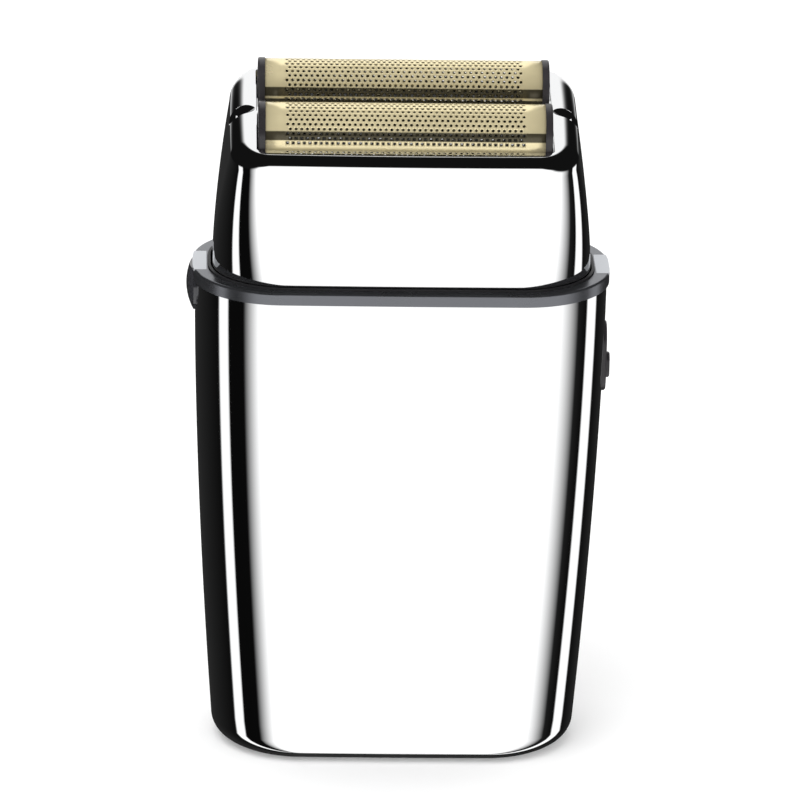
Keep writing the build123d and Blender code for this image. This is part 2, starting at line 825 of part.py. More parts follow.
with BuildPart() as armature_windings:
    for winding_z in (
        armature_middle - armature_length / 2 - winding_height,
        armature_middle + armature_length / 2,
    ):
        with BuildSketch(Plane.XY.offset(winding_z)):
            with PolarLocations(winding_radius / 2, armature_poles, start_angle=60):
                Circle(winding_radius / 2)
            Circle(winding_radius / 2)
            Circle(shaft_radius + fit_gap, mode=Mode.SUBTRACT)
        extrude(amount=winding_height)
save(armature_windings, "armature_windings")

with BuildPart() as commutator:
    with BuildSketch(Plane.XY.offset(motor_base)):
        Circle(commutator_radius)
        Circle(shaft_radius + fit_gap, mode=Mode.SUBTRACT)
        with PolarLocations(commutator_radius, armature_poles):
            Rectangle(shaft_radius, flexure_thickness, mode=Mode.SUBTRACT)
    extrude(amount=commutator_length)
save(commutator, "commutator")

# ------------------------------------------- chassis, battery, electronics

chassis_outline = plan_outline(chassis_half_width, chassis_half_depth, chassis_corner)
chassis_hollow = plan_outline(
    chassis_inner_width, chassis_half_depth - chassis_wall, chassis_corner - chassis_wall
)
chassis_face = Plane.XZ.offset(chassis_half_depth)
chassis_screw_z = motor_base - chassis_screw_drop
chassis_screw_places = [(-chassis_screw_x, chassis_screw_z), (chassis_screw_x, chassis_screw_z)]

with BuildPart() as chassis:
    with BuildSketch(Plane.XY.offset(chassis_bottom)):
        add(chassis_outline)
    extrude(amount=chassis_top - chassis_bottom)
    with BuildSketch(Plane.XY.offset(chassis_bottom + chassis_wall)):
        add(chassis_hollow)
    extrude(amount=chassis_top - chassis_bottom - 2 * chassis_wall, mode=Mode.SUBTRACT)
    with BuildSketch(chassis_face):
        with Locations(*chassis_screw_places):
            Circle(chassis_boss)
    extrude(amount=-2 * chassis_half_depth + chassis_wall)
    with BuildSketch(chassis_face):
        with Locations(*chassis_screw_places):
            Circle(screw_radius + fit_gap)
    extrude(amount=-2 * chassis_half_depth + chassis_wall, mode=Mode.SUBTRACT)
    with BuildSketch(chassis_face):
        with Locations(*chassis_screw_places):
            Circle(screw_head_radius + part_gap)
    extrude(amount=-screw_head_height - chassis_wall, mode=Mode.SUBTRACT)
    with BuildSketch(Plane.XY.offset(chassis_top - chassis_wall)):
        Circle(motor_boss_radius + part_gap)
        with Locations(*deck_screw_places):
            Circle(screw_radius + fit_gap)
    extrude(amount=chassis_wall, mode=Mode.SUBTRACT)
    with BuildSketch(Plane.XY.offset(chassis_bottom)):
        Rectangle(socket_width + 2 * part_gap, socket_width + 2 * part_gap)
    extrude(amount=chassis_wall, mode=Mode.SUBTRACT)
    with BuildSketch(switch_plane):
        Rectangle(slider_travel + slider_length, slider_width)
    extrude(amount=2 * chassis_half_width, mode=Mode.SUBTRACT)

with BuildPart() as chassis_tray:
    add(chassis.part)
    split(bisect_by=Plane.XZ.offset(-chassis_split), keep=Keep.BOTTOM)
save(chassis_tray, "chassis_tray")

with BuildPart() as chassis_cover:
    add(chassis.part)
    split(bisect_by=Plane.XZ.offset(-chassis_split + fit_gap), keep=Keep.TOP)
save(chassis_cover, "chassis_cover")

chassis_screw_level = chassis_half_depth - chassis_wall
chassis_screws = screws(
    chassis_screw_places, chassis_screw_level, 2 * chassis_screw_level - chassis_wall, Plane.XZ
)
save(chassis_screws, "chassis_screws")

with BuildPart() as battery_cell:
    with BuildSketch(Plane.XY.offset(cell_base)):
        with Locations((cell_x, 0)):
            Circle(cell_radius)
    extrude(amount=cell_length)
    fillet(battery_cell.edges().filter_by(GeomType.CIRCLE), cell_edge)
save(battery_cell, "battery_cell")

with BuildPart() as battery_tabs:
    for tab_z in (cell_base - cell_tab_thickness, cell_base + cell_length):
        with BuildSketch(Plane.XY.offset(tab_z)):
            with Locations((cell_x, 0)):
                SlotOverall(cell_tab_length, cell_tab_width)
        extrude(amount=cell_tab_thickness)
save(battery_tabs, "battery_tabs")

board_middle = board_base + board_length / 2

with BuildPart() as circuit_board:
    with BuildSketch(Plane.YZ.offset(board_x)):
        with Locations((0, board_middle)):
            RectangleRounded(board_width, board_length, board_thickness)
    extrude(amount=board_thickness)
save(circuit_board, "circuit_board")

chip_face = board_x + board_thickness
with BuildPart() as board_chips:
    with BuildSketch(Plane.YZ.offset(chip_face)):
        with Locations((0, board_middle)):
            with GridLocations(2 * chip_column, chip_pitch, 2, chip_rows):
                Rectangle(chip_width, chip_length)
    extrude(amount=chip_height)
    with BuildSketch(Plane.YZ.offset(chip_face)):
        with Locations((0, board_base + capacitor_rise)):
            Circle(capacitor_radius)
    extrude(amount=capacitor_height)
save(board_chips, "board_chips")

with BuildPart() as charging_socket:
    with BuildSketch(Plane.XY.offset(chassis_bottom)):
        RectangleRounded(socket_width, socket_width, board_thickness)
    extrude(amount=socket_height)
    with BuildSketch(Plane.XY.offset(chassis_bottom)):
        Circle(socket_barrel_radius)
    extrude(amount=socket_height - chassis_wall, mode=Mode.SUBTRACT)
    with BuildSketch(Plane.XY.offset(chassis_bottom + socket_pin_recess)):
        Circle(socket_pin_radius)
    extrude(amount=socket_pin_length)
save(charging_socket, "charging_socket")

# ------------------------------------------------- buttons and power slider

with BuildPart() as release_button:
    with BuildSketch(button_plane.offset(-button_inner)):
        Circle(button_radius)
    extrude(amount=-button_cap_thickness + button_dome)
    with BuildSketch(Plane.XZ):
        with BuildLine():
            dome_foot = (button_dome - button_outer, button_z + button_radius)
            dome_base = (button_dome - button_outer, button_z)
            dome_top = (-button_outer, button_z)
            Line(dome_foot, dome_base)
            Line(dome_base, dome_top)
            RadiusArc(dome_top, dome_foot, dome_radius)
        make_face()
    revolve(axis=Axis((0, 0, button_z), (1, 0, 0)))
    split(bisect_by=Plane.XY.offset(collar_top - pad_thickness - fit_gap), keep=Keep.BOTTOM)
    with BuildSketch(button_plane.offset(-button_inner)):
        with Locations((0, button_stem_z - button_z)):
            Circle(button_stem_radius)
    extrude(amount=button_stem_length)
save(release_button, "release_button")

release_spring = coil_spring(
    release_spring_radius,
    release_spring_wire,
    release_spring_turns,
    button_inner - guide_outer - 2 * fit_gap,
    (-guide_outer - fit_gap, 0, button_stem_z),
    (-1, 0, 0),
)
save(release_spring, "release_spring")

bezel_outer = body_half_sizes(slider_z)[0] + bezel_proud

with BuildPart() as switch_bezel:
    with BuildSketch(switch_plane.offset(bezel_outer - bezel_depth)):
        SlotOverall(bezel_length, bezel_width)
    extrude(amount=bezel_depth)
    chamfer(switch_bezel.edges().group_by(Axis.X)[-1], bezel_proud / 2)
    with BuildSketch(switch_plane.offset(bezel_outer - bezel_depth)):
        SlotOverall(slider_length + slider_travel + 2 * slide_gap, slider_width + 2 * slide_gap)
    extrude(amount=bezel_depth, mode=Mode.SUBTRACT)
save(switch_bezel, "switch_bezel")

switch_face = chassis_inner_width - loose_gap
stem_start = switch_face - switch_body_depth / 3
knob_start = bezel_outer - bezel_depth / 2

with BuildPart() as power_slider:
    with BuildSketch(switch_plane.offset(knob_start)):
        with Locations((-slider_travel / 2, 0)):
            SlotOverall(slider_length, slider_width)
    extrude(amount=bezel_outer + slider_proud - knob_start)
    chamfer(power_slider.edges().group_by(Axis.X)[-1], slider_proud / 3)
    with BuildSketch(switch_plane.offset(stem_start)):
        with Locations((-slider_travel / 2, 0)):
            Rectangle(slider_length / 2, slider_width / 2)
    extrude(amount=knob_start - stem_start)
save(power_slider, "power_slider")

with BuildPart() as switch_body:
    with BuildSketch(switch_plane.offset(switch_face - switch_body_depth)):
        with Locations((switch_top - switch_body_length / 2 - slider_z, 0)):
            Rectangle(switch_body_length, switch_body_width)
    extrude(amount=switch_body_depth)
    with BuildSketch(switch_plane.offset(switch_face)):
        Rectangle(slider_travel + slider_length, slider_width)
    extrude(amount=-switch_body_depth / 2, mode=Mode.SUBTRACT)
save(switch_body, "switch_body")
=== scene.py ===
import json
import math

import bmesh
import bpy
from bpy.props import FloatProperty, FloatVectorProperty, PointerProperty
from mathutils import Matrix, Vector

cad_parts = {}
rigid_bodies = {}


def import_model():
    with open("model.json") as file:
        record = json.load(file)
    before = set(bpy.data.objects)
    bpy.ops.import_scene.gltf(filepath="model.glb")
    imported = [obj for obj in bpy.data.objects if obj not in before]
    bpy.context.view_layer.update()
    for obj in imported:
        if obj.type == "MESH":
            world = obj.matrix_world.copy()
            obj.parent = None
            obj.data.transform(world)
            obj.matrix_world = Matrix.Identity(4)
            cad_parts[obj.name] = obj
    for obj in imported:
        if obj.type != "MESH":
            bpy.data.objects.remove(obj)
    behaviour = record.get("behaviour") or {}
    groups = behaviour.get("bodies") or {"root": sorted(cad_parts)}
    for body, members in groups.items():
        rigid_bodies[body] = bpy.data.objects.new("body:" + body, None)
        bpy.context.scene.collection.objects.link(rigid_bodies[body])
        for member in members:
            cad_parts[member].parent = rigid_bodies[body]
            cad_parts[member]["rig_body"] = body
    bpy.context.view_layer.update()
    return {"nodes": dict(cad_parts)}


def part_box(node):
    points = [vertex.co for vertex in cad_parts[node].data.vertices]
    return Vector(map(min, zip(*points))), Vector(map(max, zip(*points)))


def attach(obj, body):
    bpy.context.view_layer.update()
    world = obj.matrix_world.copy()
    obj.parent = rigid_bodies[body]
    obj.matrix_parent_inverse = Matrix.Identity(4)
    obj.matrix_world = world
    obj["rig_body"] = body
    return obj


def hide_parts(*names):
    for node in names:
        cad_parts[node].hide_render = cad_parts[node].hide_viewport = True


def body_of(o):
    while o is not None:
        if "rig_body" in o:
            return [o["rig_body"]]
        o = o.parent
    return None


bl_info = {
    "name": "Foil shaver",
    "version": (1, 0, 0),
    "blender": (4, 5, 0),
    "location": "View3D > Sidebar > Shaver",
    "description": "Finishes, perforated foils and studio for a chrome double-foil shaver",
    "category": "Object",
}

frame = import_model()


# ------------------------------------------------------------- settings

class HousingSettings(bpy.types.PropertyGroup):
    """Finishes of the parts that the hand touches."""

    chrome_colour: FloatVectorProperty(
        name="Chrome", description="Reflection colour of the plated shells",
        subtype="COLOR", min=0, max=1, default=(0.93, 0.935, 0.94))
    chrome_roughness: FloatProperty(
        name="Chrome roughness", description="Blur of the plated shells' reflections",
        subtype="FACTOR", min=0, max=1, default=0.035)
    ring_colour: FloatVectorProperty(
        name="Ring", description="Colour of the gunmetal ring under the head",
        subtype="COLOR", min=0, max=1, default=(0.17, 0.175, 0.19))
    satin_colour: FloatVectorProperty(
        name="Satin metal", description="Colour of the pads on the ring's ends",
        subtype="COLOR", min=0, max=1, default=(0.62, 0.64, 0.67))
    seal_colour: FloatVectorProperty(
        name="Seal", description="Colour of the rubber seal",
        subtype="COLOR", min=0, max=1, default=(0.02, 0.02, 0.022))
    plastic_colour: FloatVectorProperty(
        name="Black plastic", description="Colour of the moulded black parts",
        subtype="COLOR", min=0, max=1, default=(0.022, 0.02, 0.022))
    button_colour: FloatVectorProperty(
        name="Button", description="Colour of the glossy release button",
        subtype="COLOR", min=0, max=1, default=(0.03, 0.03, 0.034))


class ShapeSettings(bpy.types.PropertyGroup):
    """Curves of the two chrome shells; their overall sizes come from the frame."""

    body_corner: FloatProperty(
        name="Body corner", description="Radius of the body's corners in plan",
        unit="LENGTH", precision=4, default=0.013)
    foot_narrowing: FloatProperty(
        name="Foot narrowing", description="How much each end of the body draws in at the foot",
        unit="LENGTH", precision=4, default=0.0034)
    foot_thinning: FloatProperty(
        name="Foot thinning", description="How much each face of the body draws in at the foot",
        unit="LENGTH", precision=4, default=0.0016)
    barrel_power: FloatProperty(
        name="Barrel power", description="How late the body starts to draw in", default=1.7)
    foot_radius: FloatProperty(
        name="Foot radius", description="Radius of the body's bottom edge",
        unit="LENGTH", precision=4, default=0.0034)
    body_wall: FloatProperty(
        name="Body wall", description="Thickness of the body shell",
        unit="LENGTH", precision=4, default=0.0014)
    body_floor: FloatProperty(
        name="Body floor", description="Thickness of the body shell's floor",
        unit="LENGTH", precision=4, default=0.0018)
    port_radius: FloatProperty(
        name="Port radius", description="Radius of the charging port",
        unit="LENGTH", precision=4, default=0.0034)
    bow: FloatProperty(
        name="Bow", description="How far each face bulges at its middle",
        unit="LENGTH", precision=5, default=0.0003)
    head_narrowing: FloatProperty(
        name="Head narrowing", description="How much each end of the head draws in at the rim",
        unit="LENGTH", precision=4, default=0.0023)
    head_thinning: FloatProperty(
        name="Head thinning", description="How much each face of the head draws in at the rim",
        unit="LENGTH", precision=5, default=0.0001)
    head_power: FloatProperty(
        name="Head power", description="How late the head starts to draw in", default=1.8)
    head_base_corner: FloatProperty(
        name="Head base corner", description="Corner radius in plan where the head meets the ring",
        unit="LENGTH", precision=4, default=0.011)
    head_rim_corner: FloatProperty(
        name="Head rim corner", description="Corner radius in plan near the rim",
        unit="LENGTH", precision=4, default=0.0054)
    head_wall: FloatProperty(
        name="Head wall", description="Thickness of the head shell",
        unit="LENGTH", precision=4, default=0.0011)
    rim_height: FloatProperty(
        name="Rim height", description="Height of the head's rim at mid depth",
        unit="LENGTH", precision=4, default=0.1)
    rim_slope: FloatProperty(
        name="Rim slope", description="Lean of the rim towards the front",
        subtype="ANGLE", default=math.radians(15.0))
    shoulder_radius: FloatProperty(
        name="Shoulder radius", description="Rounding of the head's ends under the rim",
        unit="LENGTH", precision=4, default=0.0029)
    rim_edge: FloatProperty(
        name="Rim edge", description="Rounding of the head's faces under the rim",
        unit="LENGTH", precision=4, default=0.0012)
    opening_margin: FloatProperty(
        name="Opening margin", description="Gap between the foils' caps and the opening",
        unit="LENGTH", precision=5, default=0.0003)
    opening_gap: FloatProperty(
        name="Opening gap", description="Gap between the foils' faces and the opening",
        unit="LENGTH", precision=5, default=0.0002)
    notch_depth: FloatProperty(
        name="Notch depth", description="Depth of the notch in the head's rear wall",
        unit="LENGTH", precision=4, default=0.0019)
    groove_radius: FloatProperty(
        name="Groove radius", description="Radius of the finger groove on each shoulder",
        unit="LENGTH", precision=4, default=0.0013)
    groove_bite: FloatProperty(
        name="Groove bite", description="Depth of the finger groove",
        unit="LENGTH", precision=5, default=0.00035)
    groove_lean: FloatProperty(
        name="Groove lean", description="Downward lean of the finger groove",
        subtype="ANGLE", default=math.radians(33.0))


class FoilSettings(bpy.types.PropertyGroup):
    """Perforation and colour of the cutting foils."""

    hole_pitch: FloatProperty(
        name="Hole pitch", description="Distance between holes along a row",
        unit="LENGTH", precision=5, min=0.0004, max=0.003, default=0.00083)
    row_pitch: FloatProperty(
        name="Row pitch", description="Distance between rows, round the arch",
        unit="LENGTH", precision=5, min=0.0004, max=0.003, default=0.00072)
    hole_diameter: FloatProperty(
        name="Hole diameter", description="Width of each hole",
        unit="LENGTH", precision=5, min=0.0001, max=0.0009, default=0.00044)
    plain_end: FloatProperty(
        name="Plain end", description="Width of the plain strip at each end of a foil",
        unit="LENGTH", precision=4, min=0.0005, max=0.01, default=0.0026)
    holes_below: FloatProperty(
        name="Holes below the arch", description="How far the holes go down the straight sides",
        unit="LENGTH", precision=4, min=0, max=0.005, default=0.0013)
    sheet_thickness: FloatProperty(
        name="Sheet", description="Thickness of the foil",
        unit="LENGTH", precision=5, min=0.00002, max=0.0003, default=0.0001)
    gold_colour: FloatVectorProperty(
        name="Gold", description="Colour of the foil's coating",
        subtype="COLOR", min=0, max=1, default=(0.86, 0.75, 0.46))


class InnerSettings(bpy.types.PropertyGroup):
    """Colours of the parts inside."""

    grey_colour: FloatVectorProperty(
        name="Grey plastic", description="Colour of the chassis and the cutter carriers",
        subtype="COLOR", min=0, max=1, default=(0.16, 0.165, 0.17))
    cell_colour: FloatVectorProperty(
        name="Cell sleeve", description="Colour of the battery cell's sleeve",
        subtype="COLOR", min=0, max=1, default=(0.04, 0.22, 0.12))
    board_colour: FloatVectorProperty(
        name="Board", description="Colour of the circuit board's lacquer",
        subtype="COLOR", min=0, max=1, default=(0.015, 0.12, 0.05))
    copper_colour: FloatVectorProperty(
        name="Copper", description="Colour of the windings",
        subtype="COLOR", min=0, max=1, default=(0.75, 0.33, 0.16))


class StudioSettings(bpy.types.PropertyGroup):
    """Camera, floor and light."""

    azimuth: FloatProperty(
        name="Azimuth", description="Camera's angle round the object, from the front",
        subtype="ANGLE", default=math.radians(-2.0))
    elevation: FloatProperty(
        name="Elevation", description="Camera's angle above the floor",
        subtype="ANGLE", default=math.radians(20.0))
    roll: FloatProperty(
        name="Roll", description="Camera's turn about its own axis",
        subtype="ANGLE", default=math.radians(1.2))
    distance: FloatProperty(
        name="Distance", description="Camera to the aimed point",
        unit="LENGTH", min=0.2, max=5, default=1.0)
    focal_length: FloatProperty(
        name="Focal length", description="Focal length in millimetres on a 36 mm sensor",
        min=20, max=1000, default=297.8)
    aim: FloatVectorProperty(
        name="Aim", description="Point in the middle of the picture",
        subtype="XYZ", unit="LENGTH", default=(0.0003, 0, 0.05425))
    ambient: FloatProperty(
        name="Ambient light", description="Strength of the white surroundings",
        min=0, max=5, default=1.15)
    tent_radius: FloatProperty(
        name="Tent radius", description="Radius of the reflecting tent",
        unit="LENGTH", min=1, max=10, default=2.0)
    floor_size: FloatProperty(
        name="Floor", description="Length of the floor's side",
        unit="LENGTH", min=1, max=50, default=16.0)


# ------------------------------------------------------------- fixed values, lengths in metres

# Depth of the bump of a plated or painted surface, of a moulded one and of the rolled foil.
GRAIN_DEPTH = 0.00002
MOULDED_DEPTH = 0.00003
ROLLED_DEPTH = 0.00001

# Painted reflection on each foil: a dark band of colour that stands in for the dark studio
# mirrored in the bend. Its reach above and below the start of the straight side, the blur of its
# edges, how bright it is beside the gold, and how far from the foil's middle a point may be, in
# foil radii, to count as part of that foil.
PAINTED_REFLECTION_ABOVE = 0.0008
PAINTED_REFLECTION_BELOW = 0.0004
PAINTED_REFLECTION_BLUR = 0.0002
PAINTED_REFLECTION_SHADE = 0.1
FOIL_REACH = 1.02

# Point counts along each half side and corner of a ring, how many rings each stretch of a
# shell has, the least rounding of an inner edge, and the angle that makes an edge sharp.
SIDE_POINTS = 14
CORNER_POINTS = 28
FOOT_STEPS = 10
WALL_STEPS = 30
HEAD_STEPS = 16
SHOULDER_STEPS = 12
LEAST_EDGE = 0.00005
SHARP_ANGLE = math.radians(32)

# Gaps round the button and the switch, the button's drop below the collar ring, the straight
# left on a full-round outline, and the corners of the head's opening and rear notch.
BUTTON_GAP = 0.0002
BUTTON_DROP = 0.00145
BEZEL_GAP = 0.00015
OUTLINE_EASE = 0.00001
OPENING_CORNER = 0.0006
NOTCH_CORNER = 0.0014

# Foil holes: points on each hole, and the step that tells two vertices apart.
HOLE_POINTS = 16
VERTEX_STEP = 0.0000001

# Reflecting tent: azimuth in degrees and brightness, from the back round the left, the front
# (0) and the right to the back again.
TENT_STRIPS = (
    (-180, 0.03), (-150, 0.02), (-95, 0.004), (-93, 0.004),
    (-91, 1.1), (-78, 1.1), (-76, 0.003), (-54, 0.003),
    (-34, 1.15), (58, 1.15), (84, 0.012), (99, 0.003),
    (101, 1.1), (118, 1.1), (121, 0.004), (180, 0.03),
)
# The roof's lower edge fades between these degrees of rise; its brightness away from the back
# light and in it; where the back light starts round the tent and where it ends on the way up.
ROOF_START = (-9, -5)
ROOF_LEVELS = (0.006, 1.0)
BACK_LIGHT_AZIMUTH = (145, 165)
BACK_LIGHT_RISE = (75, 60)
HALF_TURN = 180.0

# The floor lies just under the object, so that their faces don't flicker; power in watts.
FLOOR_DROP = 0.00005
SOFTBOX_SIZE = 0.8
SOFTBOX_POWER = 6.0
SOFTBOX_PLACE = (-0.3, -0.5, 1.1)
SENSOR_WIDTH = 36
CLIP_RANGE = (0.01, 100)


# ------------------------------------------------------------- shader parts

def group_tree(name, inputs, outputs):
    """New shader node group with its sockets, and its two end nodes."""
    tree = bpy.data.node_groups.new(name, "ShaderNodeTree")
    for socket, kind, default in inputs:
        made = tree.interface.new_socket(socket, in_out="INPUT", socket_type=kind)
        made.default_value = default
    for socket, kind in outputs:
        tree.interface.new_socket(socket, in_out="OUTPUT", socket_type=kind)
    return tree, tree.nodes.new("NodeGroupInput"), tree.nodes.new("NodeGroupOutput")


def join(tree, *pairs):
    """Link each pair of sockets."""
    for source, target in pairs:
        tree.links.new(source, target)


def maths(tree, operation, *values):
    """Math node; each value is a number or a socket."""
    node = tree.nodes.new("ShaderNodeMath")
    node.operation = operation
    for socket, value in zip(node.inputs, values):
        if isinstance(value, (int, float)):
            socket.default_value = value
        else:
            tree.links.new(value, socket)
    return node.outputs[0]


def remap(tree, value, low, high, to_low=0.0, to_high=1.0, smooth=True):
    """Map Range node from low-high to to_low-to_high."""
    node = tree.nodes.new("ShaderNodeMapRange")
    node.interpolation_type = "SMOOTHSTEP" if smooth else "LINEAR"
    tree.links.new(value, node.inputs["Value"])
    for socket, number in (
        ("From Min", low), ("From Max", high), ("To Min", to_low), ("To Max", to_high)
    ):
        if isinstance(number, (int, float)):
            node.inputs[socket].default_value = number
        else:
            tree.links.new(number, node.inputs[socket])
    return node.outputs["Result"]


def mixed(tree, factor, first, second):
    """Colour mix of two sockets or colours."""
    node = tree.nodes.new("ShaderNodeMix")
    node.data_type = "RGBA"
    tree.links.new(factor, node.inputs["Factor"])
    for socket, value in ((node.inputs[6], first), (node.inputs[7], second)):
        if isinstance(value, bpy.types.NodeSocket):
            tree.links.new(value, socket)
        else:
            socket.default_value = (*value, 1)
    return node.outputs[2]


def finish_group():
    """Cloudy colour and roughness with a fine grain, for every moulded or plated surface."""
    tree, start, end = group_tree(
        "surface_finish",
        [
            ("Colour", "NodeSocketColor", (0.5, 0.5, 0.5, 1)),
            ("Second Colour", "NodeSocketColor", (0.5, 0.5, 0.5, 1)),
            ("Cloud Scale", "NodeSocketFloat", 60.0),
            ("Grain Scale", "NodeSocketFloat", 3000.0),
            ("Stretch", "NodeSocketVector", (1, 1, 1)),
            ("Roughness", "NodeSocketFloat", 0.4),
            ("Roughness Spread", "NodeSocketFloat", 0.1),
        ],
        [
            ("Colour", "NodeSocketColor"),
            ("Roughness", "NodeSocketFloat"),
            ("Height", "NodeSocketFloat"),
        ],
    )
    place = tree.nodes.new("ShaderNodeTexCoord")
    stretched = tree.nodes.new("ShaderNodeVectorMath")
    stretched.operation = "MULTIPLY"
    cloud = tree.nodes.new("ShaderNodeTexNoise")
    cloud.inputs["Detail"].default_value = 4
    grain = tree.nodes.new("ShaderNodeTexNoise")
    grain.inputs["Detail"].default_value = 3
    join(
        tree,
        (place.outputs["Object"], stretched.inputs[0]),
        (start.outputs["Stretch"], stretched.inputs[1]),
        (stretched.outputs[0], cloud.inputs["Vector"]),
        (stretched.outputs[0], grain.inputs["Vector"]),
        (start.outputs["Cloud Scale"], cloud.inputs["Scale"]),
        (start.outputs["Grain Scale"], grain.inputs["Scale"]),
        (grain.outputs["Fac"], end.inputs["Height"]),
    )
    spread = remap(tree, cloud.outputs["Fac"], 0.3, 0.7)
    colour = mixed(tree, spread, start.outputs["Colour"], start.outputs["Second Colour"])
    swing = maths(tree, "MULTIPLY", maths(tree, "SUBTRACT", spread, 0.5),
                  start.outputs["Roughness Spread"])
    rough = maths(tree, "ADD", start.outputs["Roughness"], swing)
    join(tree, (colour, end.inputs["Colour"]), (rough, end.inputs["Roughness"]))
    return tree


def placed_finish(tree, **values):
    """A node of the shared surface finish, with its values set."""
    node = tree.nodes.new("ShaderNodeGroup")
    node.node_tree = bpy.data.node_groups.get("surface_finish") or finish_group()
    for name, value in values.items():
        socket = node.inputs[name.replace("_", " ")]
        socket.default_value = (*value, 1) if socket.type == "RGBA" else value
    return node


def base_material(name, metallic=0.0, coat=0.0, coat_roughness=0.1):
    """New material and its Principled BSDF."""
    material = bpy.data.materials.new(name)
    material.use_nodes = True
    shader = material.node_tree.nodes["Principled BSDF"]
    shader.inputs["Metallic"].default_value = metallic
    shader.inputs["Coat Weight"].default_value = coat
    shader.inputs["Coat Roughness"].default_value = coat_roughness
    return material, material.node_tree, shader


def bumped(tree, shader, height, strength, distance):
    """Bump node from a height socket into the shader's normal."""
    bump = tree.nodes.new("ShaderNodeBump")
    bump.inputs["Strength"].default_value = strength
    bump.inputs["Distance"].default_value = distance
    join(tree, (height, bump.inputs["Height"]), (bump.outputs["Normal"], shader.inputs["Normal"]))


def finish_material(
    name, colour, second, metallic=0.0, roughness=0.4, spread=0.1, cloud=60.0, grain=3000.0,
    stretch=(1, 1, 1), bump=0.0, depth=GRAIN_DEPTH, coat=0.0, coat_roughness=0.1,
):
    """Material of the shared surface finish, with its own colours, grain and gloss.

    The two colours and the roughness drift by clouds of the given scale. A bump, when there
    is one, comes from the fine grain, with its depth in metres.
    """
    material, tree, shader = base_material(name, metallic, coat, coat_roughness)
    finish = placed_finish(
        tree, Colour=colour, Second_Colour=second, Cloud_Scale=cloud, Grain_Scale=grain,
        Stretch=stretch, Roughness=roughness, Roughness_Spread=spread,
    )
    join(
        tree,
        (finish.outputs["Colour"], shader.inputs["Base Color"]),
        (finish.outputs["Roughness"], shader.inputs["Roughness"]),
    )
    if bump:
        bumped(tree, shader, finish.outputs["Height"], bump, depth)
    return material


def shade(colour, factor):
    """The colour made lighter or darker."""
    return tuple(min(1.0, channel * factor) for channel in colour)


def dress(material, *nodes):
    """Give CAD nodes a material."""
    for name in nodes:
        for holder in frame["nodes"][name].material_slots:
            holder.material = material


# ------------------------------------------------------------- finishes

def chrome(settings):
    """Mirror plating with the faintest haze."""
    return finish_material(
        "chrome_plate", settings.chrome_colour, shade(settings.chrome_colour, 0.985),
        metallic=1.0, roughness=settings.chrome_roughness, spread=0.015, cloud=25.0,
    )


def gold_sheet(settings):
    """Gold-coated foil: fine rolled grain, with a painted dark reflection band where it bends into
    its straight sides.
    """
    material, tree, shader = base_material("gold_coating", metallic=0.55)
    finish = placed_finish(
        tree, Colour=settings.gold_colour, Second_Colour=shade(settings.gold_colour, 1.12),
        Cloud_Scale=180.0, Grain_Scale=9000.0, Stretch=(0.3, 1, 1), Roughness=0.24,
        Roughness_Spread=0.1,
    )
    place = tree.nodes.new("ShaderNodeTexCoord")
    parts = tree.nodes.new("ShaderNodeSeparateXYZ")
    join(tree, (place.outputs["Object"], parts.inputs[0]))
    # Painted reflection: a mask of a dark band round each foil's bend, placed by height.
    painted_reflection_band = None
    for name in ("front", "rear"):
        low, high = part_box(f"foil_{name}")
        radius, middle = (high.y - low.y) / 2, (high.y + low.y) / 2
        across = maths(tree, "ABSOLUTE", maths(tree, "SUBTRACT", parts.outputs["Y"], middle))
        near = maths(tree, "LESS_THAN", across, radius * FOIL_REACH)
        level = maths(tree, "SUBTRACT", parts.outputs["Z"], high.z - radius)
        start = remap(tree, level, -PAINTED_REFLECTION_BELOW - PAINTED_REFLECTION_BLUR, -PAINTED_REFLECTION_BELOW)
        stop = remap(tree, level, PAINTED_REFLECTION_ABOVE, PAINTED_REFLECTION_ABOVE + PAINTED_REFLECTION_BLUR, 1, 0)
        band = maths(tree, "MULTIPLY", near, maths(tree, "MULTIPLY", start, stop))
        painted_reflection_band = band if painted_reflection_band is None else maths(tree, "MAXIMUM", painted_reflection_band, band)
    # The gold is darkened inside the band: painted reflection in the base colour.
    toned = mixed(
        tree, painted_reflection_band, finish.outputs["Colour"], shade(settings.gold_colour, PAINTED_REFLECTION_SHADE))
    join(
        tree,
        (toned, shader.inputs["Base Color"]),
        (finish.outputs["Roughness"], shader.inputs["Roughness"]),
    )
    bumped(tree, shader, finish.outputs["Height"], 0.15, ROLLED_DEPTH)
    return material


# ------------------------------------------------------------- meshes

def new_piece(name, mesh, body, material):
    """Object for a finished mesh, riding on a body."""
    piece = bpy.data.objects.new(name, mesh)
    bpy.context.scene.collection.objects.link(piece)
    mesh.materials.append(material)
    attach(piece, body)
    return piece


def rounded_outline(half_width, half_depth, corner, bow=0.0):
    """Closed outline of a rounded rectangle with bowed sides, always of the same point count."""
    quarter = [
        (half_width, (half_depth - corner) * step / SIDE_POINTS) for step in range(SIDE_POINTS)
    ]
    for step in range(CORNER_POINTS + 1):
        turn = math.pi / 2 * step / CORNER_POINTS
        quarter.append((
            half_width - corner + corner * math.cos(turn),
            half_depth - corner + corner * math.sin(turn),
        ))
    quarter += [
        ((half_width - corner) * (1 - step / SIDE_POINTS), half_depth)
        for step in range(1, SIDE_POINTS)
    ]
    returning = [(0, half_depth), *reversed(quarter[1:])]
    points = []
    for part, sign_x, sign_y in (
        (quarter, 1, 1), (returning, -1, 1), (quarter, -1, -1), (returning, 1, -1)
    ):
        points += [(x * sign_x, y * sign_y) for x, y in part]
    return [
        (x * (1 - bow / half_width * (y / half_depth) ** 2),
         y * (1 - bow / half_depth * (x / half_width) ** 2))
        for x, y in points
    ]


